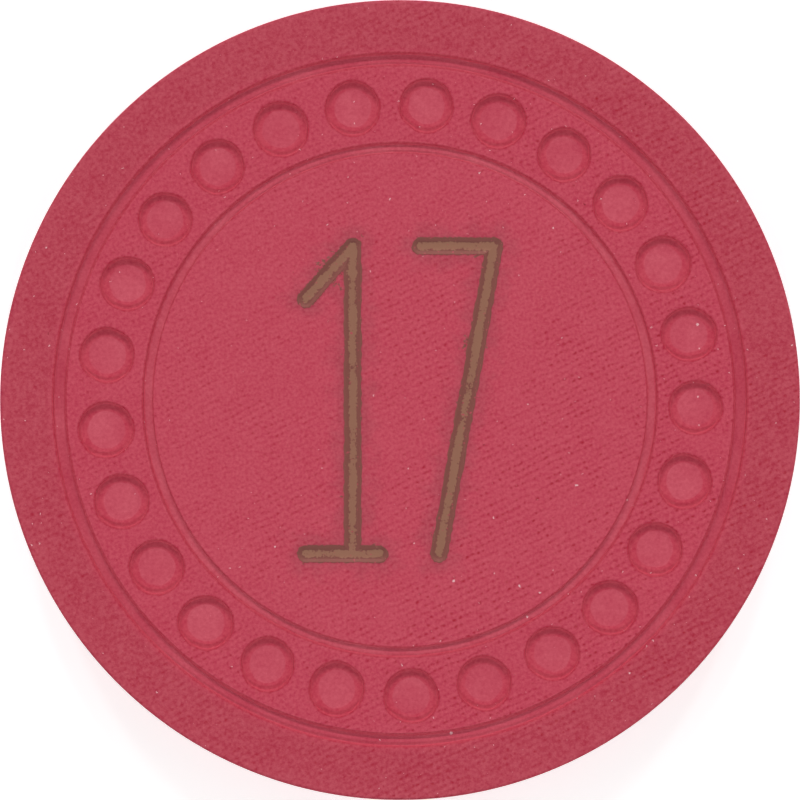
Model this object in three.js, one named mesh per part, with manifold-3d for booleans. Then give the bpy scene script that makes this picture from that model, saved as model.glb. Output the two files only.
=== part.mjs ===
// Roulette chip: a solid-colour disc of clay composition, pressed between two engraved dies.
// Each face carries two ring grooves, a ring of round dimples between them, and a plain number
// hot-stamped in gold leaf, which lies in its own shallow recess.
// Units are millimetres. +Z points out of the front face and +Y to the top of the number.
// The origin is the centre of the back face, on the plane that the chip rests on.

import * as THREE from 'three';
import { mergeVertices } from 'three/addons/utils/BufferGeometryUtils.js';
import Module from 'manifold-3d';

const wasm = await Module();
wasm.setup();

// Disc
const chipDiameter = 39.0;
const chipThickness = 3.3;
const edgeRadius = 0.18; // rounding where each face meets the side
const rimRise = 0.05; // how far the plain rim stands above the rest of the face

// Ring grooves, with steep sides and crowned floors, the outer one with a ledge along each side
const rimWidth = 2.48; // plain rim outside the outer groove
const bandWidth = 3.56; // band between the two grooves
const innerGroove = { width: 0.66, depth: 0.15, ledgeWidth: 0, ledgeDepth: 0 };
const outerGroove = { width: 0.82, depth: 0.17, ledgeWidth: 0.1, ledgeDepth: 0.05 };
const grooveDraft = 0.05; // how far each side leans in on its way down
const grooveCrown = 0.02; // how much deeper the middle of the floor is than its sides

// Dimples, in a ring along the middle of the band
const dimpleCount = 25;
const dimpleMouthDiameter = 2.57;
const dimpleFloorDiameter = 2.42;
const dimpleDepth = 0.23; // at the edge of the floor
const dimpleDish = 0.03; // further depth at the middle of the floor
const dimplePhase = 12.9; // degrees from +X to the first dimple

// Hot-stamped number, in straight strokes with round ends
const digitHeight = 15.0; // between the stroke centre lines at top and bottom
const digitWidth = 3.6;
const digitSpacing = 2.0; // between the two digits' boxes
const strokeWidth = 0.7;
const flagDrop = 2.6; // how far the flag of the one comes down
const stemInset = 1.3; // from the right of the one's box to its stem
const legInset = 0.9; // from the left of the seven's box to the foot of its leg

// Gold leaf and the recess that the stamping die presses for it
const recessDepth = 0.14;
const leafThickness = 0.06;
const leafBond = 0.01; // layer of size that holds the leaf down
const leafClearance = 0.04; // between the leaf and the recess wall

// Facets
const segmentsPerDimple = 3; // of the disc, for each dimple in the ring
const edgeSteps = 3;
const dimpleSides = 18;
const strokeArcSteps = 8;
const cutOvershoot = 0.5; // how far a cutter reaches out of the face

// Derived places. A face is drawn with +Z outwards and the plane of its rim at z = 0.
const chipRadius = chipDiameter / 2;
const bandLevel = -rimRise;
const rimInner = chipRadius - rimWidth;
const bandOuter = rimInner - outerGroove.width;
const bandInner = bandOuter - bandWidth;
const fieldRadius = bandInner - innerGroove.width;
const dimpleRingRadius = (bandOuter + bandInner) / 2;
const recessFloor = bandLevel - recessDepth;
const leafBottom = recessFloor + leafBond;

const clay = new THREE.MeshStandardMaterial({ color: 0xbb4a5a, roughness: 0.75, metalness: 0 });
const goldLeaf = new THREE.MeshStandardMaterial({ color: 0x976a57, roughness: 0.45, metalness: 0.8 });

// Solid from a closed geometry, and geometry from a solid
function toSolid(geometry) {
  const bare = new THREE.BufferGeometry();
  bare.setAttribute('position', geometry.getAttribute('position'));
  bare.setIndex(geometry.getIndex());
  const merged = mergeVertices(bare);
  return new wasm.Manifold(new wasm.Mesh({
    numProp: 3,
    vertProperties: new Float32Array(merged.getAttribute('position').array),
    triVerts: new Uint32Array(merged.getIndex().array),
  }));
}

function toGeometry(solid) {
  const mesh = solid.getMesh();
  const geometry = new THREE.BufferGeometry();
  geometry.setAttribute('position', new THREE.BufferAttribute(mesh.vertProperties, 3));
  geometry.setIndex(new THREE.BufferAttribute(mesh.triVerts, 1));
  geometry.computeVertexNormals();
  return geometry;
}

// Body of revolution about Z from profile points of (radius, height)
function revolve(profile, segments) {
  return new THREE.LatheGeometry(profile, segments).rotateX(Math.PI / 2);
}

// Section of one side of a groove from its lip down to its floor, as distances in from the lip.
// A side with a ledge steps down to it first.
function grooveSide({ depth, ledgeWidth, ledgeDepth }, lipHeight) {
  const points = [new THREE.Vector2(0, lipHeight)];
  if (ledgeWidth > 0) {
    const lean = Math.min(grooveDraft, ledgeWidth) / 2;
    points.push(new THREE.Vector2(lean, bandLevel - ledgeDepth));
    points.push(new THREE.Vector2(ledgeWidth, bandLevel - ledgeDepth));
  }
  points.push(new THREE.Vector2(ledgeWidth + grooveDraft, bandLevel - depth + grooveCrown));
  return points;
}

// Section across a groove, from its inner lip at the band's level to its outer lip
function grooveProfile(innerRadius, groove, outerLipHeight) {
  const outerRadius = innerRadius + groove.width;
  const near = grooveSide(groove, bandLevel);
  const far = grooveSide(groove, outerLipHeight).reverse();
  return [
    ...near.map((point) => new THREE.Vector2(innerRadius + point.x, point.y)),
    new THREE.Vector2((innerRadius + outerRadius) / 2, bandLevel - groove.depth),
    ...far.map((point) => new THREE.Vector2(outerRadius - point.x, point.y)),
  ];
}

// Section of one face from the axis to the middle of the side
function faceProfile() {
  const points = [new THREE.Vector2(0, bandLevel)];
  points.push(...grooveProfile(fieldRadius, innerGroove, bandLevel));
  points.push(...grooveProfile(bandOuter, outerGroove, 0));
  const rounding = Math.min(edgeRadius, chipThickness / 2);
  for (let step = 0; step <= edgeSteps; step += 1) {
    const angle = Math.PI / 2 * (1 - step / edgeSteps);
    const radius = chipRadius - rounding * (1 - Math.cos(angle));
    points.push(new THREE.Vector2(radius, -rounding * (1 - Math.sin(angle))));
  }
  return points;
}

// The plain disc with its grooves, both faces alike
function discSolid() {
  const front = faceProfile().map((point) => new THREE.Vector2(point.x, chipThickness + point.y));
  const back = faceProfile().map((point) => new THREE.Vector2(point.x, -point.y));
  const profile = [...back, ...front.reverse()];
  return toSolid(revolve(profile, dimpleCount * segmentsPerDimple));
}

// Cutter for one dimple at the axis: a dished floor, a steep wall, and the same slope carried out
function dimpleCutter() {
  const mouthRadius = dimpleMouthDiameter / 2;
  const floorRadius = dimpleFloorDiameter / 2;
  const wallSlope = (mouthRadius - floorRadius) / dimpleDepth;
  const profile = [
    new THREE.Vector2(0, bandLevel - dimpleDepth - dimpleDish),
    new THREE.Vector2(floorRadius, bandLevel - dimpleDepth),
    new THREE.Vector2(mouthRadius + cutOvershoot * wallSlope, bandLevel + cutOvershoot),
    new THREE.Vector2(0, bandLevel + cutOvershoot),
  ];
  return revolve(profile, dimpleSides);
}

// Cutters for the whole ring of dimples on one face
function dimpleCutters() {
  const cutters = [];
  for (let index = 0; index < dimpleCount; index += 1) {
    const angle = THREE.MathUtils.degToRad(dimplePhase) + 2 * Math.PI * index / dimpleCount;
    cutters.push(dimpleCutter().translate(dimpleRingRadius, 0, 0).rotateZ(angle));
  }
  return cutters;
}

// Outline of a stroke that runs from start to bend, turns right there and runs on to end.
// Its ends and the outside of its bend are round.
function bentStroke({ start, bend, end }, width) {
  const half = width / 2;
  const leftOfFirst = bend.clone().sub(start).normalize().rotateAround(new THREE.Vector2(), Math.PI / 2);
  const leftOfSecond = end.clone().sub(bend).normalize().rotateAround(new THREE.Vector2(), Math.PI / 2);
  const firstSide = leftOfFirst.angle();
  const secondSide = leftOfSecond.angle();
  const reach = half / (1 + leftOfFirst.dot(leftOfSecond));
  const crook = bend.clone().addScaledVector(leftOfFirst, -reach).addScaledVector(leftOfSecond, -reach);
  const outline = new THREE.Shape();
  outline.absarc(bend.x, bend.y, half, firstSide, secondSide, true);
  outline.absarc(end.x, end.y, half, secondSide, secondSide - Math.PI, true);
  outline.lineTo(crook.x, crook.y);
  outline.absarc(start.x, start.y, half, firstSide - Math.PI, firstSide, true);
  return outline;
}

// Outline of a level stroke with round ends
function levelStroke({ start, end }, width) {
  const half = width / 2;
  const outline = new THREE.Shape();
  outline.absarc(end.x, end.y, half, -Math.PI / 2, Math.PI / 2);
  outline.absarc(start.x, start.y, half, Math.PI / 2, 3 * Math.PI / 2);
  return outline;
}

// Digit of the number as one body, standing from the level bottom to the level top
function digitSolid(outlines, bottom, top) {
  const options = { depth: top - bottom, bevelEnabled: false, curveSegments: strokeArcSteps };
  const solids = outlines.map((outline) => {
    return toSolid(new THREE.ExtrudeGeometry(outline, options).translate(0, 0, bottom));
  });
  return solids.reduce((joined, solid) => joined.add(solid));
}

// Outlines of the two digits about the middle of the face, drawn with strokes of the width given.
// The stem of the one ends halfway through its foot, so that the two strokes make one body.
function numberOutlines(width) {
  const at = (x, y) => new THREE.Vector2(x, y);
  const top = digitHeight / 2;
  const bottom = -digitHeight / 2;
  const oneRight = -digitSpacing / 2;
  const oneLeft = oneRight - digitWidth;
  const stem = oneRight - stemInset;
  const sevenLeft = digitSpacing / 2;
  const sevenRight = sevenLeft + digitWidth;
  const flagAndStem = {
    start: at(oneLeft, top - flagDrop),
    bend: at(stem, top),
    end: at(stem, bottom + strokeWidth / 2),
  };
  const foot = { start: at(oneLeft, bottom), end: at(oneRight, bottom) };
  const barAndLeg = {
    start: at(sevenLeft, top),
    bend: at(sevenRight, top),
    end: at(sevenLeft + legInset, bottom),
  };
  return {
    one: [bentStroke(flagAndStem, width), levelStroke(foot, width)],
    seven: [bentStroke(barAndLeg, width)],
  };
}

// The two faces as groups: the front at the top of the disc, the back turned over about Y
const frontFace = new THREE.Group();
frontFace.position.z = chipThickness;
const backFace = new THREE.Group();
backFace.rotation.y = Math.PI;
const faces = { front: frontFace, back: backFace };

const recessOutlines = numberOutlines(strokeWidth + 2 * leafClearance);
const leafOutlines = numberOutlines(strokeWidth);
let body = discSolid();
for (const [side, face] of Object.entries(faces)) {
  face.updateMatrix();
  for (const cutter of dimpleCutters()) {
    body = body.subtract(toSolid(cutter.applyMatrix4(face.matrix)));
  }
  for (const digit of Object.keys(leafOutlines)) {
    const recess = digitSolid(recessOutlines[digit], recessFloor, cutOvershoot);
    body = body.subtract(toSolid(toGeometry(recess).applyMatrix4(face.matrix)));

    const leafSolid = digitSolid(leafOutlines[digit], leafBottom, leafBottom + leafThickness);
    const leaf = new THREE.Mesh(toGeometry(leafSolid), goldLeaf);
    leaf.name = `${side}_foil_${digit}`;
    face.add(leaf);
  }
}

const chipBody = new THREE.Mesh(toGeometry(body), clay);
chipBody.name = 'chip_body';

const chip = new THREE.Group();
chip.name = 'roulette_chip';
chip.add(chipBody, frontFace, backFace);

export default chip;
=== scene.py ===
import math
import random

import bmesh
import bpy
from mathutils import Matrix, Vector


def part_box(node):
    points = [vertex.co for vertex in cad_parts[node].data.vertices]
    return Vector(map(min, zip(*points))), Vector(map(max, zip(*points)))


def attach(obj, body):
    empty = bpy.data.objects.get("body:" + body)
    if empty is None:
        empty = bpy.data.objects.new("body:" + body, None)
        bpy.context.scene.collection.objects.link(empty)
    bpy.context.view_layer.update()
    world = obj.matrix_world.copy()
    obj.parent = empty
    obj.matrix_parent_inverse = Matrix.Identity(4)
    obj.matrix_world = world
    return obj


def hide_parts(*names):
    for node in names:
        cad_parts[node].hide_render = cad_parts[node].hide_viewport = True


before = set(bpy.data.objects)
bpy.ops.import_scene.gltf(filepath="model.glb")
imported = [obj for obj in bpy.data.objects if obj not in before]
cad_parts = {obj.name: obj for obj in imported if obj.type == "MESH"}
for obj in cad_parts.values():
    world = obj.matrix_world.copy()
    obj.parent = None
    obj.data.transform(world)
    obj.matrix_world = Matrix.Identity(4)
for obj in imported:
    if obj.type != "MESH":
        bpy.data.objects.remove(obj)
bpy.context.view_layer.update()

# Ring of dimples
# The clay compound is pressed hot between two engraved dies. Round bosses on each die leave a ring
# of shallow dimples with smooth, slightly dished floors. One dimple is modelled in its own share of
# the band between the two grooves, and the share is copied all the way round.

mm = 0.001
hair = 0.001 * mm
low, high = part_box("chip_body")
chip_radius = max(high.x, -low.x)
chip_thickness = high.z - low.z
rim_rise = 0.05 * mm
rim_level = high.z
face_level = rim_level - rim_rise

rim_width = 2.48 * mm
band_width = 3.56 * mm
inner_groove_width = 0.66 * mm
outer_groove_width = 0.82 * mm
rim_inner = chip_radius - rim_width
band_outer = rim_inner - outer_groove_width
band_inner = band_outer - band_width
field_radius = band_inner - inner_groove_width

dimple_count = 25
dimple_pitch = math.tau / dimple_count
dimple_turn = math.radians(-5.1)    # of the dimple nearest to the top of the face
dimple_ring_radius = (band_inner + band_outer) / 2
dimple_mouth_radius = 1.44 * mm
# Distance in from the mouth and depth there, in mm: a soft lip, a steep wall, a ledge, then the floor
dimple_section = ((0.02, 0.001), (0.06, 0.005), (0.095, 0.013), (0.125, 0.03), (0.132, 0.06), (0.136, 0.10),
                  (0.141, 0.15), (0.149, 0.19), (0.172, 0.213), (0.24, 0.227), (0.32, 0.234), (0.50, 0.24),
                  (0.55, 0.252), (0.60, 0.258), (0.85, 0.262), (1.1, 0.264))
dimple_uneven = 0.025               # how far one dimple differs from the next in size
dimple_stray = 0.03 * mm            # and in place
dimple_wander = 0.12 * mm           # strength and scale of the noise that makes each one uneven
dimple_wander_scale = 1.1 * mm
cell_steps = 10                     # mesh steps along each side of one dimple's share of the band
hand_seed = 7


def only(piece):
    """Makes one object the only one that is selected, and the active one."""
    bpy.ops.object.select_all(action="DESELECT")
    piece.select_set(True)
    bpy.context.view_layer.objects.active = piece


def select_where(test):
    """In edit mode, selects the vertices whose place passes a test, and what lies between them."""
    shape = bmesh.from_edit_mesh(bpy.context.edit_object.data)
    shape.select_mode = {"VERT"}
    for vertex in shape.verts:
        vertex.select = test(vertex.co)
    shape.select_flush_mode()
    bmesh.update_edit_mesh(bpy.context.edit_object.data)


def reach(place):
    """Distance from the axis of the chip."""
    return math.hypot(place.x, place.y)


def pull_rings(centre, start, rings):
    """Extrudes the selected loop through rings of (radius, height) about a centre."""
    radius, height = start
    for next_radius, next_height in rings:
        lift = (0, 0, next_height - height)
        bpy.ops.mesh.extrude_edges_move(TRANSFORM_OT_translate={"value": lift})
        growth = next_radius / radius
        bpy.ops.transform.resize(value=(growth, growth, 1), center_override=centre)
        radius, height = next_radius, next_height


bpy.ops.object.select_all(action="DESELECT")
bpy.ops.mesh.primitive_circle_add(vertices=dimple_count * cell_steps, radius=band_inner,
                                  location=(0, 0, face_level))
chip = bpy.context.object
chip.name = "clay_disc"
bpy.ops.object.transform_apply(location=True)
bpy.ops.object.mode_set(mode="EDIT")

# The share's outline: an arc of the inner circle, drawn out to the outer one and left hollow
side_angle = dimple_pitch / 2
slack = dimple_pitch / cell_steps / 2
select_where(lambda place: abs(math.atan2(place.x, place.y)) > side_angle + slack)
bpy.ops.mesh.delete(type="VERT")
bpy.ops.mesh.select_all(action="SELECT")
spread = [(band_inner + band_width * step / cell_steps, face_level) for step in range(1, cell_steps + 1)]
pull_rings((0, 0, 0), (band_inner, face_level), spread)
select_where(lambda place: band_inner + hair < reach(place) < band_outer - hair
             and abs(math.atan2(place.x, place.y)) < side_angle - slack)
bpy.ops.mesh.delete(type="VERT")

# The dimple's mouth, bridged to the outline, then drawn down its wall and across its floor
dimple_centre = (0, dimple_ring_radius, face_level)
bpy.ops.mesh.primitive_circle_add(vertices=4 * cell_steps, radius=dimple_mouth_radius,
                                  location=dimple_centre)
bpy.ops.mesh.select_all(action="SELECT")
bpy.ops.mesh.bridge_edge_loops()
select_where(lambda place: abs(math.dist(place, dimple_centre) - dimple_mouth_radius) < hair)
rings = [(dimple_mouth_radius - run * mm, face_level - depth * mm) for run, depth in dimple_section]
pull_rings(dimple_centre, (dimple_mouth_radius, face_level), rings)
bpy.ops.mesh.edge_face_add()
bpy.ops.mesh.poke(center_mode="MEDIAN")

bpy.ops.mesh.select_all(action="SELECT")
bpy.ops.mesh.spin(steps=dimple_count - 1, dupli=True, angle=math.tau - dimple_pitch,
                  center=(0, 0, 0), axis=(0, 0, 1))
bpy.ops.mesh.select_all(action="SELECT")
bpy.ops.mesh.remove_doubles(threshold=hair)

# The bosses of the die were cut one by one, so no two dimples are quite alike
hand = random.Random(hand_seed)
for number in range(dimple_count):
    angle = dimple_pitch * number
    centre = (dimple_ring_radius * math.sin(angle), dimple_ring_radius * math.cos(angle), face_level)
    select_where(lambda place: math.dist(place.xy, centre[:2]) < dimple_mouth_radius + hair)
    wide, tall = (1 + hand.uniform(-dimple_uneven, dimple_uneven) for _ in range(2))
    bpy.ops.transform.resize(value=(wide, tall, 1), center_override=centre)
    right, up = (hand.uniform(-dimple_stray, dimple_stray) for _ in range(2))
    bpy.ops.transform.translate(value=(right, up, 0))

# Nor is any of them a true circle
select_where(lambda place: band_inner + hair < reach(place) < band_outer - hair)
bpy.ops.object.vertex_group_assign_new()
bpy.ops.object.mode_set(mode="OBJECT")
wander = bpy.data.textures.new("dimple_wander", "CLOUDS")
wander.noise_scale = dimple_wander_scale
for direction in ("X", "Y"):
    bpy.ops.object.modifier_add(type="DISPLACE")
    bend = chip.modifiers[-1]
    bend.direction = direction
    bend.texture = wander
    bend.vertex_group = chip.vertex_groups[0].name
    bend.strength = dimple_wander
    bpy.ops.object.modifier_apply(modifier=bend.name)
bpy.ops.object.vertex_group_remove(all=True)
bpy.ops.object.mode_set(mode="EDIT")

# Grooves, rim and edge
# Two ring grooves with rounded floors frame the band, the outer one with a narrow ledge along its
# inner side. Each is steep on the inner side and softer on the outer. Outside them the plain rim
# stands a little proud, so that chips stack rim on rim, and handling has rounded its edge.

# Distance in from a groove's edge and depth there, in mm, down to the floor
inner_groove_steep = ((0.02, 0.002), (0.045, 0.006), (0.066, 0.016), (0.072, 0.05), (0.077, 0.10),
                      (0.087, 0.132), (0.115, 0.145), (0.17, 0.149))
inner_groove_soft = ((0.02, 0.001), (0.05, 0.005), (0.085, 0.014), (0.115, 0.032), (0.124, 0.06),
                     (0.131, 0.092), (0.14, 0.118), (0.163, 0.136), (0.23, 0.145), (0.33, 0.149))
outer_groove_steep = ((0.02, 0.0), (0.035, 0.004), (0.05, 0.014), (0.07, 0.028), (0.09, 0.034),
                      (0.12, 0.037), (0.132, 0.045), (0.14, 0.08), (0.148, 0.12), (0.165, 0.147),
                      (0.20, 0.16), (0.29, 0.169))
outer_groove_soft = ((0.02, 0.001), (0.05, 0.006), (0.085, 0.018), (0.115, 0.042), (0.124, 0.08),
                     (0.131, 0.125), (0.139, 0.165), (0.16, 0.195), (0.21, 0.21), (0.28, 0.217),
                     (0.38, 0.219))
edge_radius = 0.15 * mm
edge_steps = 6


def groove_rings(start_radius, direction, width, near_section, far_section, far_level):
    """Rings across a groove, from the band's edge outwards or inwards, up to the level beyond it."""
    far_radius = start_radius + direction * width
    rings = [(start_radius + direction * run * mm, face_level - depth * mm) for run, depth in near_section]
    for run, depth in reversed(far_section):
        rings.append((far_radius - direction * run * mm, far_level - depth * mm))
    rings.append((far_radius, far_level))
    return rings


select_where(lambda place: abs(reach(place) - band_inner) < hair)
inner_rings = groove_rings(band_inner, -1, inner_groove_width,
                           inner_groove_soft, inner_groove_steep, face_level)
pull_rings((0, 0, 0), (band_inner, face_level), inner_rings)

select_where(lambda place: abs(reach(place) - band_outer) < hair)
outer_rings = groove_rings(band_outer, 1, outer_groove_width,
                           outer_groove_steep, outer_groove_soft, rim_level)
rim_flat_radius = chip_radius - edge_radius
for step in range(edge_steps + 1):
    angle = math.pi / 2 * step / edge_steps
    outer_rings.append((rim_flat_radius + edge_radius * math.sin(angle),
                        rim_level - edge_radius * (1 - math.cos(angle))))
pull_rings((0, 0, 0), (band_outer, face_level), outer_rings)
bpy.ops.object.mode_set(mode="OBJECT")
chip.rotation_euler.z = dimple_turn
bpy.ops.object.transform_apply(rotation=True)

# Stamped recess
# A heated die pressed the number into the plain middle of the face. Its strokes are taken from the
# leaf that lies in them, a little wider, and the rest of the middle is filled flat around them.

recess_depth = 0.14 * mm
recess_clearance = 0.04 * mm
recess_slope = 0.14 * mm            # how far the walls come in on their way down
recess_floor = face_level - recess_depth
front_digits = ("front_foil_one", "front_foil_seven")
stroke_width = 0.7 * mm
flag_drop = 2.6 * mm                # of the one's flag below its top
stem_inset = 1.3 * mm               # of the one's stem from its right side
leg_inset = 0.9 * mm                # of the foot of the seven's leg from its left side
flat_angle = math.radians(1)        # most turn between the triangles of one flat side
level_normal = 0.5                  # least upright part of the normal of a digit's top or bottom


def digit_walls(node, spread, top, bottom, slope):
    """Walls of a digit's outline, moved outwards, set between two levels and sloped inwards."""
    walls = bpy.data.objects.new(node + "_walls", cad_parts[node].data.copy())
    bpy.context.scene.collection.objects.link(walls)
    only(walls)
    bpy.ops.mesh.customdata_custom_splitnormals_clear()
    bpy.ops.object.mode_set(mode="EDIT")
    bpy.ops.mesh.select_all(action="SELECT")
    bpy.ops.mesh.remove_doubles(threshold=hair)
    bpy.ops.mesh.dissolve_limited(angle_limit=flat_angle)
    bpy.ops.mesh.select_mode(type="FACE")
    shape = bmesh.from_edit_mesh(walls.data)
    for part in shape.faces:
        part.select = abs(part.normal.z) > level_normal
    bmesh.update_edit_mesh(walls.data)
    bpy.ops.mesh.delete(type="ONLY_FACE")
    bpy.ops.mesh.select_mode(type="VERT")
    bpy.ops.mesh.select_all(action="SELECT")
    bpy.ops.transform.shrink_fatten(value=spread, use_even_offset=True)
    lowest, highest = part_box(node)
    middle = (lowest.z + highest.z) / 2
    select_where(lambda place: place.z < middle)
    bpy.ops.transform.shrink_fatten(value=-slope, use_even_offset=True)
    bpy.ops.transform.translate(value=(0, 0, bottom - lowest.z))
    select_where(lambda place: place.z > middle)
    bpy.ops.transform.translate(value=(0, 0, top - highest.z))
    bpy.ops.object.mode_set(mode="OBJECT")
    return walls


recesses = [digit_walls(node, recess_clearance, face_level, recess_floor, recess_slope)
            for node in front_digits]
only(chip)
for recess in recesses:
    recess.select_set(True)
bpy.ops.object.join()
bpy.ops.object.mode_set(mode="EDIT")
select_where(lambda place: abs(place.z - face_level) < hair and reach(place) < field_radius + hair)
bpy.ops.mesh.fill(use_beauty=True)
select_where(lambda place: abs(place.z - face_level) < hair and reach(place) < field_radius - hair)
bpy.ops.mesh.mark_sharp()
select_where(lambda place: abs(place.z - recess_floor) < hair and reach(place) < field_radius)
bpy.ops.mesh.fill(use_beauty=True)
bpy.ops.object.mode_set(mode="OBJECT")

# Both faces
# The two dies are alike, so the back of the moulding is the same face turned over. A plain side joins
# the two, where the compound met the wall of the mould.

smooth_angle = math.radians(50)     # sharper turns than this keep their edge


def turned_over(piece):
    """A copy of a piece, turned over to lie on the other face of the chip."""
    only(piece)
    bpy.ops.object.duplicate()
    copy = bpy.context.object
    copy.rotation_euler.y = math.pi
    copy.location.z = chip_thickness
    bpy.ops.object.transform_apply(location=True, rotation=True)
    return copy


back = turned_over(chip)
only(chip)
back.select_set(True)
bpy.ops.object.join()
bpy.ops.object.mode_set(mode="EDIT")
select_where(lambda place: reach(place) > chip_radius - hair)
bpy.ops.mesh.bridge_edge_loops()
bpy.ops.mesh.select_all(action="SELECT")
bpy.ops.mesh.normals_make_consistent(inside=False)
bpy.ops.object.mode_set(mode="OBJECT")
bpy.ops.object.shade_smooth_by_angle(angle=smooth_angle)
bpy.ops.object.modifier_add(type="WEIGHTED_NORMAL")
chip.modifiers[-1].keep_sharp = True
bpy.ops.object.modifier_apply(modifier=chip.modifiers[-1].name)

# Clay
# A crimson moulding compound. The dies print a fine plain weave on every raised surface and leave
# the floors of the recesses smooth. Years of handling have left the weave patchy, the rim dull, and a
# few pale and dark specks of filler showing. Painted shade darkens the pits of the weave, the lips and
# walls of the recesses and the rounded edge; painted light makes the smooth floors paler and the
# crests of the weave lighter.

clay_colour = (0.518, 0.058, 0.096)
rim_colour = (0.456, 0.049, 0.080)
# Painted shade in the pits of the weave, over their small bump
pit_shade_colour = (0.395, 0.022, 0.042)
# Painted shade along the lips of the recesses
lip_shade_colour = (0.440, 0.034, 0.062)
# Painted shadow: a deeper red on the walls and ledges of the recesses
wall_shadow_colour = (0.530, 0.034, 0.066)
veil_colour = (0.50, 0.24, 0.25)    # what paler grains and painted light add, and darker grains and painted shade lack
halo_colour = (0.415, 0.056, 0.084)
flake_colour = (0.230, 0.075, 0.062)
pale_speck_colour = (0.72, 0.40, 0.43)
dark_speck_colour = (0.29, 0.02, 0.035)
clay_roughness = 0.66
clay_specular = 0.3
weave_period = 0.31                 # mm
weave_turn = math.radians(25)
weave_warp = 0.35                   # mm
weave_relief = 0.008 * mm
grain_relief = 0.008 * mm
grain_shade = 0.46
rim_grain = 0.15                    # how much stronger the grain is on the rim
blotch_shade = 0.10
crest_light_and_shade = 0.04
band_gain = 0.98
# Of the inner groove, the dimples and the outer groove: mm down to the floor, and how much paler it is
# painted, as painted light
floor_depths = (0.142, 0.247, 0.15)
floor_light_gains = (0.075, 0.05, 0.0)
floor_ripple = 0.03                 # mm by which the border of a paler floor wanders up and down
floor_border = 0.007                # mm to either side of it over which the floor turns paler
floor_mottle = 0.36                 # how blotchy the floors are
floor_grain = 0.8                   # shade of the grain there, as a share of that on raised ground
floor_grain_relief = 0.3            # and its height
lip_shade_depth = 0.007                   # mm down at which the painted shade on a lip is at its full strength
wall_depths = (0.05, 0.12)          # mm down between which a lip turns to a wall
wall_shade_share = 0.42                   # how much of the painted shadow colour shows on walls and ledges
# Changes near the outer edge: mm in from it where each starts and ends, and how much paler it is: paler
# with wear, then darker on the rounded corner as painted shade
edge_wear_and_shade = ((0.8, 0.3, 0.02), (0.16, 0.04, -0.08))
side_shade = 0.16
side_stretch = (0.35, 0.35, 5)      # makes the lines on the side long and narrow
# Dulled clay and stray flakes: mm from the middle of a stroke over which they fade, with their wander
halo_span = (1.3, 2.7)
halo_wander = 2.4
halo_share = 0.85
flake_span = (1.5, 2.1)
flake_wander = 3.2
flake_share = 0.24
flake_level = 0.80
speck_shake = 0.22                  # mm by which the outline of a speck wanders
darkest = 0.008
# How fine each random pattern is, in features per mm
worn_scale = 0.25
warp_scale = 0.6
pit_scale = 3.6
grain_scale = 6.5
blotch_scale = 0.6
ripple_scale = 1.7
mottle_scale = 0.35
halo_scale = 1.3
scatter_scale = 0.55
flake_scale = 6.0
drift_scale = 0.11
shake_scale = 9


def add_node(tree, kind, sockets, **options):
    """Adds a shader node with its options, and fills its sockets with values or links."""
    node = tree.nodes.new(kind)
    for name, value in options.items():
        setattr(node, name, value)
    for name, value in sockets.items():
        if isinstance(value, bpy.types.NodeSocket):
            tree.links.new(value, node.inputs[name])
        else:
            node.inputs[name].default_value = value
    return node


def compute(tree, operation, *values):
    """One step of arithmetic on shader values."""
    return add_node(tree, "ShaderNodeMath", dict(enumerate(values)), operation=operation).outputs[0]


def combine(tree, operation, *values):
    """One step of arithmetic on shader vectors, for a vector result."""
    node = add_node(tree, "ShaderNodeVectorMath", dict(enumerate(values)), operation=operation)
    return node.outputs["Vector"]


def measure(tree, operation, *values):
    """One step of arithmetic on shader vectors, for a plain number."""
    node = add_node(tree, "ShaderNodeVectorMath", dict(enumerate(values)), operation=operation)
    return node.outputs["Value"]


def ramp(tree, value, start, end, low_value, high_value):
    """Carries a shader value smoothly from one range to another."""
    sockets = {"Value": value, "From Min": start, "From Max": end, "To Min": low_value, "To Max": high_value}
    return add_node(tree, "ShaderNodeMapRange", sockets, interpolation_type="SMOOTHSTEP").outputs["Result"]


def noise(tree, place, scale, detail):
    """A soft random pattern with features about 1/scale mm wide."""
    sockets = {"Vector": place, "Scale": scale, "Detail": detail, "Roughness": 0.6}
    return add_node(tree, "ShaderNodeTexNoise", sockets).outputs


def blend(tree, share, first, second):
    """Mixes two colours, of which either may be a link."""
    node = tree.nodes.new("ShaderNodeMix")
    node.data_type = "RGBA"
    for socket, value in ((node.inputs[0], share), (node.inputs[6], first), (node.inputs[7], second)):
        if isinstance(value, bpy.types.NodeSocket):
            tree.links.new(value, socket)
        else:
            socket.default_value = (*value, 1)
    return node.outputs[2]


def face_coordinates(tree):
    """Place in mm, the same place seen on whichever face it is, and height from the middle of the chip."""
    place = add_node(tree, "ShaderNodeTexCoord", {}).outputs["Object"]
    place = combine(tree, "MULTIPLY", place, (1 / mm,) * 3)
    parts = add_node(tree, "ShaderNodeSeparateXYZ", {0: place}).outputs
    from_middle = compute(tree, "SUBTRACT", parts["Z"], chip_thickness / mm / 2)
    across = compute(tree, "MULTIPLY", parts["X"], compute(tree, "SIGN", from_middle))
    face_place = add_node(tree, "ShaderNodeCombineXYZ", {0: across, 1: parts["Y"], 2: 0}).outputs[0]
    return place, face_place, compute(tree, "ABSOLUTE", from_middle)


def by_zone(tree, radius, inner, band, outer):
    """One of three values: for the inner groove, the band with its dimples, or the outer groove."""
    value = inner
    for border, change in ((band_inner, band - inner), (band_outer, outer - band)):
        step = ramp(tree, radius, border / mm - 0.01, border / mm + 0.01, 0, change)
        value = compute(tree, "ADD", value, step)
    return value


clay = bpy.data.materials.new("clay")
clay.use_nodes = True
tree = clay.node_tree
shader = tree.nodes["Principled BSDF"]
place, face_place, height = face_coordinates(tree)
radius = measure(tree, "LENGTH", face_place)
face_height = (face_level - chip_thickness / 2) / mm

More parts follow.
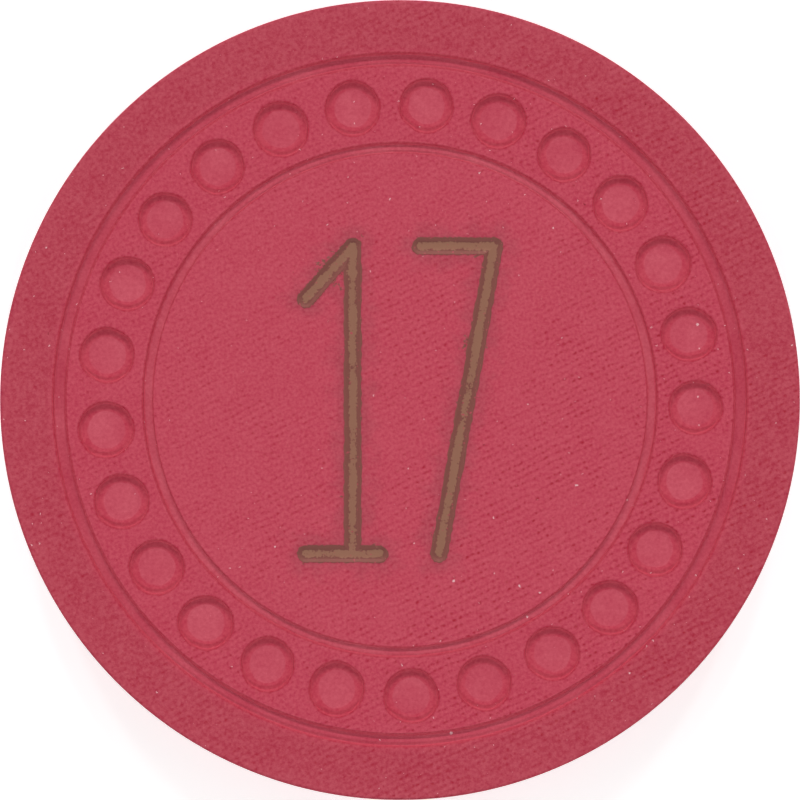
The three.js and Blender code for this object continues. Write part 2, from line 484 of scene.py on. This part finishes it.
# The weave shows on raised ground only, and is worn away in patches
raised = ramp(tree, height, face_height - 0.05, face_height - 0.01, 0, 1)
worn = ramp(tree, noise(tree, place, worn_scale, 3)["Fac"], 0.36, 0.60, 0.3, 1)
lie = measure(tree, "DOT_PRODUCT", face_place, (0.02, -0.012, 0))
worn = compute(tree, "MULTIPLY", worn, compute(tree, "ADD", lie, 0.9))
weave_share = compute(tree, "MULTIPLY", raised, worn)

# Rows of small pits, longer along the rows than across them, each of its own depth
warp = combine(tree, "SUBTRACT", noise(tree, place, warp_scale, 3)["Color"], (0.5, 0.5, 0.5))
warped = combine(tree, "MULTIPLY_ADD", warp, (weave_warp,) * 3, face_place)
turned = add_node(tree, "ShaderNodeVectorRotate", {"Vector": warped, "Angle": -weave_turn},
                  rotation_type="Z_AXIS").outputs[0]
threads = add_node(tree, "ShaderNodeSeparateXYZ", {0: turned}).outputs
along = compute(tree, "COSINE", compute(tree, "MULTIPLY", threads["X"], math.tau / weave_period))
between = compute(tree, "COSINE", compute(tree, "MULTIPLY", threads["Y"], math.tau / weave_period))
along = compute(tree, "MULTIPLY_ADD", along, 0.45, 0.55)
between = compute(tree, "POWER", compute(tree, "MULTIPLY_ADD", between, 0.5, 0.5), 2)
uneven = ramp(tree, noise(tree, place, pit_scale, 3)["Fac"], 0.42, 0.66, 0.0, 1)
pits = compute(tree, "MULTIPLY", compute(tree, "MULTIPLY", along, between), uneven)
pits = compute(tree, "MULTIPLY", pits, weave_share)

# Grain and blotches, painted light and shade on the crests and rows of the weave, and the floors of the
# recesses painted paler, as painted light, and blotchier than the rest
rim_share = ramp(tree, radius, rim_inner / mm - 0.3, rim_inner / mm + 0.3, 0, 1)
grain = noise(tree, place, grain_scale, 3)["Fac"]
blotch = noise(tree, place, blotch_scale, 4)["Fac"]
grain_gain = compute(tree, "MULTIPLY_ADD", rim_share, grain_shade * rim_grain, grain_shade)
grain_there = compute(tree, "MULTIPLY_ADD", raised, 1 - floor_grain, floor_grain)
grain_gain = compute(tree, "MULTIPLY", grain_gain, grain_there)
tone = compute(tree, "MULTIPLY_ADD", compute(tree, "SUBTRACT", grain, 0.5), grain_gain, 1)
tone = compute(tree, "MULTIPLY_ADD", blotch, blotch_shade, compute(tree, "SUBTRACT", tone, blotch_shade / 2))
# Painted light and shade across the weave: the crests between the rows of pits lighter, the rows darker
crests = compute(tree, "MULTIPLY", compute(tree, "SUBTRACT", 0.3, between), weave_share)
tone = compute(tree, "MULTIPLY_ADD", crests, crest_light_and_shade, tone)
depth = compute(tree, "SUBTRACT", face_height, height)
on_face = compute(tree, "LESS_THAN", radius, rim_flat_radius / mm)
ripple = compute(tree, "SUBTRACT", noise(tree, place, ripple_scale, 3)["Fac"], 0.5)
floor_start = by_zone(tree, radius, *floor_depths)
rippled = compute(tree, "MULTIPLY_ADD", ripple, floor_ripple, depth)
past_floor = compute(tree, "SUBTRACT", rippled, floor_start)
pale_floor = compute(tree, "MULTIPLY", ramp(tree, past_floor, -floor_border, floor_border, 0, 1), on_face)
# Painted light: the smooth floors of the recesses paler
tone = compute(tree, "MULTIPLY_ADD", pale_floor, by_zone(tree, radius, *floor_light_gains), tone)
mottle = compute(tree, "SUBTRACT", noise(tree, place, mottle_scale, 5)["Fac"], 0.5)
tone = compute(tree, "MULTIPLY_ADD", compute(tree, "MULTIPLY", mottle, floor_mottle), pale_floor, tone)

# Shares of painted shade on the lips and walls of the recesses, by the depth below the band, or below the
# rim outside it
groove_middle = (band_outer + rim_inner) / 2 / mm
step_up = ramp(tree, radius, groove_middle - 0.05, groove_middle + 0.05, 0, rim_rise / mm)
below = compute(tree, "ADD", depth, step_up)
within = ramp(tree, radius, rim_inner / mm, rim_inner / mm + 0.1, 1, 0)
lip = compute(tree, "MULTIPLY", ramp(tree, below, 0.0, lip_shade_depth, 0, 1), within)
wall = compute(tree, "MULTIPLY", ramp(tree, below, *wall_depths, 0, 1), within)
lip = compute(tree, "MULTIPLY", lip, compute(tree, "SUBTRACT", 1, wall))
wall = compute(tree, "MULTIPLY", wall, compute(tree, "MULTIPLY_ADD", pale_floor, -wall_shade_share, wall_shade_share))

# The band is a shade darker than the middle, and the outer edge is paler with wear, with painted shade
# on its rounded corner
from_ring = compute(tree, "ABSOLUTE", compute(tree, "SUBTRACT", radius, dimple_ring_radius / mm))
in_band = compute(tree, "LESS_THAN", from_ring, band_width / mm / 2 - 0.02)
tone = compute(tree, "MULTIPLY_ADD", compute(tree, "MULTIPLY", in_band, raised), band_gain - 1, tone)
for start, end, gain in edge_wear_and_shade:
    near_edge = ramp(tree, radius, chip_radius / mm - start, chip_radius / mm - end, 0, gain)
    tone = compute(tree, "ADD", tone, near_edge)

# Faint lines round the side, where the flash was trimmed off
stretched = combine(tree, "MULTIPLY", place, side_stretch)
lines = compute(tree, "SUBTRACT", noise(tree, stretched, 1, 3)["Fac"], 0.5)
side = compute(tree, "SUBTRACT", 1, on_face)
tone = compute(tree, "MULTIPLY_ADD", compute(tree, "MULTIPLY", lines, side), side_shade, tone)

hue = blend(tree, rim_share, clay_colour, rim_colour)
# Painted shade in the pits of the weave
hue = blend(tree, pits, hue, pit_shade_colour)


def distance_from(tree, place, start, end):
    """Distance in mm from a straight stroke between two points of the face."""
    run = ((end[0] - start[0]) / mm, (end[1] - start[1]) / mm, 0)
    length = math.hypot(*run)
    from_start = combine(tree, "SUBTRACT", place, (start[0] / mm, start[1] / mm, 0))
    share = measure(tree, "DOT_PRODUCT", from_start, tuple(part / length ** 2 for part in run))
    share = compute(tree, "MINIMUM", compute(tree, "MAXIMUM", share, 0), 1)
    nearest = add_node(tree, "ShaderNodeVectorMath", {0: run, "Scale": share}, operation="SCALE")
    return measure(tree, "DISTANCE", from_start, nearest.outputs["Vector"])


# Around the strokes the hot die has dulled the clay and left a few stray flakes of leaf
half_stroke = stroke_width / 2
one_low, one_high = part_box(front_digits[0])
seven_low, seven_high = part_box(front_digits[1])
number_top = one_high.y - half_stroke
number_foot = one_low.y + half_stroke
stem_x = one_high.x - half_stroke - stem_inset
stroke_lines = (
    ((one_low.x + half_stroke, number_top - flag_drop), (stem_x, number_top)),
    ((stem_x, number_top), (stem_x, number_foot)),
    ((one_low.x + half_stroke, number_foot), (one_high.x - half_stroke, number_foot)),
    ((seven_low.x + half_stroke, number_top), (seven_high.x - half_stroke, number_top)),
    ((seven_high.x - half_stroke, number_top), (seven_low.x + half_stroke + leg_inset, number_foot)),
)
from_stroke = distance_from(tree, face_place, *stroke_lines[0])
for line in stroke_lines[1:]:
    from_stroke = compute(tree, "MINIMUM", from_stroke, distance_from(tree, face_place, *line))
strayed = compute(tree, "MULTIPLY_ADD", noise(tree, place, halo_scale, 4)["Fac"], halo_wander, from_stroke)
halo = compute(tree, "MULTIPLY", ramp(tree, strayed, *halo_span, halo_share, 0), raised)
hue = blend(tree, halo, hue, halo_colour)
scatter = noise(tree, place, scatter_scale, 2)["Fac"]
scatter = compute(tree, "MULTIPLY_ADD", scatter, flake_wander, from_stroke)
flaked = ramp(tree, scatter, *flake_span, flake_share, 0)
flakes = compute(tree, "ADD", noise(tree, place, flake_scale, 2)["Fac"], flaked)
flakes = compute(tree, "GREATER_THAN", flakes, flake_level)
hue = blend(tree, compute(tree, "MULTIPLY", flakes, raised), hue, flake_colour)

# Painted shade lies over all of that on the lips, and the walls are painted a deeper red as painted shadow
hue = blend(tree, lip, hue, lip_shade_colour)
hue = blend(tree, wall, hue, wall_shadow_colour)

# Specks of filler in drifts, one to a cell of a coarse random pattern, each of its own size. The list
# gives the width of a cell and the largest speck's radius in mm, its colour, and a shift of the pattern.
drift = ramp(tree, noise(tree, place, drift_scale, 2)["Fac"], 0.40, 0.60, 0.35, 1.1)
specks = ((4.0, 0.095, pale_speck_colour, 0), (1.2, 0.048, pale_speck_colour, 20),
          (6.0, 0.06, dark_speck_colour, 50))
for cell, size, colour, offset in specks:
    shake = noise(tree, place, shake_scale, 2)["Color"]
    shaken = combine(tree, "MULTIPLY_ADD", shake, (speck_shake,) * 3, face_place)
    shaken = combine(tree, "ADD", shaken, (offset, offset, 0))
    cells = add_node(tree, "ShaderNodeTexVoronoi", {"Vector": shaken, "Scale": 1 / cell},
                     voronoi_dimensions="2D").outputs
    own_size = compute(tree, "MULTIPLY", compute(tree, "POWER", cells["Color"], 2.0), size / cell)
    own_size = compute(tree, "MULTIPLY", own_size, drift)
    speck = compute(tree, "MULTIPLY", compute(tree, "LESS_THAN", cells["Distance"], own_size), on_face)
    hue = blend(tree, speck, hue, colour)

veil = add_node(tree, "ShaderNodeVectorMath", {0: veil_colour, "Scale": compute(tree, "SUBTRACT", tone, 1)},
                operation="SCALE").outputs["Vector"]
tint = combine(tree, "MAXIMUM", combine(tree, "ADD", hue, veil), (darkest,) * 3)
tree.links.new(tint, shader.inputs["Base Color"])
shader.inputs["Roughness"].default_value = clay_roughness
shader.inputs["Specular IOR Level"].default_value = clay_specular

relief = compute(tree, "MULTIPLY", pits, -weave_relief)
grain_share = compute(tree, "MULTIPLY_ADD", raised, 1 - floor_grain_relief, floor_grain_relief)
grain_share = compute(tree, "MULTIPLY", grain, grain_share)
relief = compute(tree, "MULTIPLY_ADD", grain_share, grain_relief, relief)
bump = add_node(tree, "ShaderNodeBump", {"Height": relief, "Strength": 1, "Distance": 1})
tree.links.new(bump.outputs["Normal"], shader.inputs["Normal"])
chip.data.materials.clear()
chip.data.materials.append(clay)
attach(chip, "root")
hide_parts("chip_body")

# Gold leaf
# The heated die carries thin metal leaf down into each stroke. It lines the stroke's floor and walls,
# laps a little way over the mouth with a ragged edge, and is tarnished to brown in patches. Its walls
# are also painted brown as painted shade, so that only the floor stays bright.

leaf_film = 0.012 * mm              # gap and thickness of the film together
leaf_lap = 0.035 * mm
leaf_ragged = 0.04 * mm
# Steps across the leaf from its lap to the middle of a stroke, in mm: distance in and distance down
leaf_section = ((0.035, 0), (0.07, 0.06), (0.07, 0.05), (0.05, 0.010), (0.05, 0.007), (0.05, 0.005),
                (0.04, 0.003))
leaf_cuts = 60                      # of each long side of a stroke, so that its edge can be ragged
long_side = 1 * mm
leaf_tan = (0.36, 0.165, 0.105)
leaf_brown = (0.245, 0.075, 0.060)
leaf_metal = 0.35
leaf_roughness = 0.5
tarnish_roughness = 0.15            # how much rougher the leaf is where it is brown
leaf_shade_depths = (0.124, 0.096)     # mm below the face between which the bright floor is painted brown up the walls, as painted shade
speckle_scale = 11                  # features per mm, as for the clay
speckle_share = 1.8
patch_scale = 1.1
patch_share = 1.9
rub_scale = 6
crinkle_scale = 5
crinkle_relief = 0.012 * mm

leaf = bpy.data.materials.new("gold_leaf")
leaf.use_nodes = True
tree = leaf.node_tree
shader = tree.nodes["Principled BSDF"]
place, face_place, height = face_coordinates(tree)
bright_height, brown_height = (face_height - depth for depth in leaf_shade_depths)
# Painted shade: the leaf turns brown up the walls, and the floor stays bright
shade_climb = add_node(tree, "ShaderNodeMapRange", {"Value": height, "From Min": bright_height,
                                              "From Max": brown_height}).outputs["Result"]
speckle = compute(tree, "SUBTRACT", noise(tree, place, speckle_scale, 2)["Fac"], 0.5)
patch = compute(tree, "SUBTRACT", noise(tree, place, patch_scale, 3)["Fac"], 0.5)
tarnish_and_shade = compute(tree, "MULTIPLY_ADD", speckle, speckle_share, shade_climb)
tarnish_and_shade = compute(tree, "MULTIPLY_ADD", patch, patch_share, tarnish_and_shade)
tarnish_and_shade = ramp(tree, tarnish_and_shade, 0.38, 0.50, 0, 1)
gold = blend(tree, tarnish_and_shade, leaf_tan, leaf_brown)
rubbed = compute(tree, "MULTIPLY", patch, 0.3)
rubbed = compute(tree, "ADD", noise(tree, place, rub_scale, 3)["Fac"], rubbed)
rubbed = ramp(tree, rubbed, 0.67, 0.70, 0, 1)
gold = blend(tree, rubbed, gold, clay_colour)
tree.links.new(gold, shader.inputs["Base Color"])
tree.links.new(compute(tree, "MULTIPLY_ADD", rubbed, -leaf_metal, leaf_metal), shader.inputs["Metallic"])
dulled = compute(tree, "MULTIPLY_ADD", tarnish_and_shade, tarnish_roughness, leaf_roughness)
tree.links.new(dulled, shader.inputs["Roughness"])
crinkle = compute(tree, "MULTIPLY", noise(tree, place, crinkle_scale, 3)["Fac"], crinkle_relief)
bump = add_node(tree, "ShaderNodeBump", {"Height": crinkle, "Strength": 1, "Distance": 1})
tree.links.new(bump.outputs["Normal"], shader.inputs["Normal"])

for number, node in enumerate(front_digits):
    leaf_top = face_level + leaf_film
    piece = digit_walls(node, recess_clearance + leaf_lap, leaf_top, recess_floor, 0)
    piece.name = node + "_leaf"
    bpy.ops.object.mode_set(mode="EDIT")
    select_where(lambda place: place.z < face_level)
    bpy.ops.mesh.delete(type="VERT")
    bpy.ops.mesh.select_all(action="SELECT")
    bpy.ops.mesh.edge_face_add()
    shape = bmesh.from_edit_mesh(piece.data)
    shape.normal_update()
    if sum(part.normal.z for part in shape.faces) < 0:
        bpy.ops.mesh.flip_normals()
    shape = bmesh.from_edit_mesh(piece.data)
    shape.select_mode = {"EDGE"}
    for edge in shape.edges:
        edge.select = edge.calc_length() > long_side
    shape.select_flush_mode()
    bmesh.update_edit_mesh(piece.data)
    bpy.ops.mesh.subdivide(number_cuts=leaf_cuts)
    bpy.ops.mesh.select_all(action="SELECT")
    for inwards, down in leaf_section:
        bpy.ops.mesh.inset(thickness=inwards * mm, depth=-down * mm)
    shape = bmesh.from_edit_mesh(piece.data)
    shape.select_mode = {"VERT"}
    for vertex in shape.verts:
        vertex.select = vertex.is_boundary
    shape.select_flush_mode()
    bmesh.update_edit_mesh(piece.data)
    bpy.ops.transform.vertex_random(offset=leaf_ragged, uniform=1, normal=0, seed=number + 3)
    bpy.ops.transform.resize(value=(1, 1, 0), center_override=(0, 0, leaf_top))
    bpy.ops.mesh.select_all(action="SELECT")
    bpy.ops.mesh.normals_make_consistent(inside=False)
    shape = bmesh.from_edit_mesh(piece.data)
    if sum(part.normal.z for part in shape.faces) < 0:
        bpy.ops.mesh.flip_normals()
    bpy.ops.object.mode_set(mode="OBJECT")
    bpy.ops.object.modifier_add(type="SOLIDIFY")
    piece.modifiers[-1].thickness = leaf_film / 2
    piece.modifiers[-1].offset = -1
    bpy.ops.object.modifier_apply(modifier=piece.modifiers[-1].name)
    piece.data.materials.clear()
    piece.data.materials.append(leaf)
    for copy, replaced in ((piece, node), (turned_over(piece), node.replace("front", "back"))):
        copy.name = replaced + "_leaf"
        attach(copy, "root")
        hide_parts(replaced)

# Light, floor and camera
# Plain studio light: a long tube lamp above the top of the face, made of a row of distant lamps, a
# weaker single lamp below it, and a fill that is strongest low down at the left and right. The floor
# is white, and the camera looks straight down on the face.

side_fill = 1.2
overhead_fill = 0.06
panel_fill = 0.6                    # how far left and right outdo top and bottom
lamps = {"top_lamp": (30, 0, 0.33, (-24, -12, 0, 12, 24)), "bottom_lamp": (40, 180, 0.20, (0,))}
lamp_softness = math.radians(5)
floor_size = 1.6
floor_shade = 0.9
floor_glow = 0.45                   # for the camera alone, so that the floor shows white
floor_drop = 10 * hair              # keeps the floor just clear of the rim that rests on it

for name, (elevation, bearing, share, offsets) in lamps.items():
    elevation = math.radians(elevation)
    for offset in offsets:
        turn = math.radians(bearing + offset)
        bpy.ops.object.light_add(type="SUN", rotation=(elevation - math.pi / 2, 0, turn))
        lamp = bpy.context.object
        lamp.name = name
        lamp.data.energy = share * math.pi / math.sin(elevation) / len(offsets)
        lamp.data.angle = lamp_softness

world = bpy.data.worlds.new("studio")
bpy.context.scene.world = world
world.use_nodes = True
tree = world.node_tree
sky = add_node(tree, "ShaderNodeTexCoord", {}).outputs["Generated"]
parts = add_node(tree, "ShaderNodeSeparateXYZ", {0: sky}).outputs
rise = compute(tree, "MAXIMUM", parts["Z"], 0)
level = compute(tree, "MULTIPLY_ADD", rise, overhead_fill - side_fill, side_fill)
across, along = (compute(tree, "MULTIPLY", parts[axis], parts[axis]) for axis in ("X", "Y"))
sideways = compute(tree, "SUBTRACT", across, along)
level = compute(tree, "MULTIPLY", level, compute(tree, "MULTIPLY_ADD", sideways, panel_fill, 1))
seen = add_node(tree, "ShaderNodeLightPath", {}).outputs["Is Camera Ray"]
level = compute(tree, "MAXIMUM", level, seen)
tree.nodes["Background"].inputs["Color"].default_value = (1, 1, 1, 1)
tree.links.new(level, tree.nodes["Background"].inputs["Strength"])

bpy.ops.mesh.primitive_plane_add(size=floor_size, location=(0, 0, -floor_drop))
floor = bpy.context.object
floor.name = "floor"
paper = bpy.data.materials.new("floor_white")
paper.use_nodes = True
tree = paper.node_tree
shader = tree.nodes["Principled BSDF"]
shader.inputs["Base Color"].default_value = (floor_shade, floor_shade, floor_shade, 1)
seen = add_node(tree, "ShaderNodeLightPath", {}).outputs["Is Camera Ray"]
glow = compute(tree, "MULTIPLY", seen, floor_glow)
shader.inputs["Emission Color"].default_value = (1, 1, 1, 1)
tree.links.new(glow, shader.inputs["Emission Strength"])
floor.data.materials.append(paper)

lens = 200
sensor = 36
outline_level = rim_level - edge_radius
bpy.ops.object.camera_add(location=(0, 0, outline_level + chip_radius * 2 * lens / sensor))
camera = bpy.context.object
camera.data.lens = lens
camera.data.sensor_width = sensor
bpy.context.scene.camera = camera
bpy.context.scene.view_settings.view_transform = "Standard"
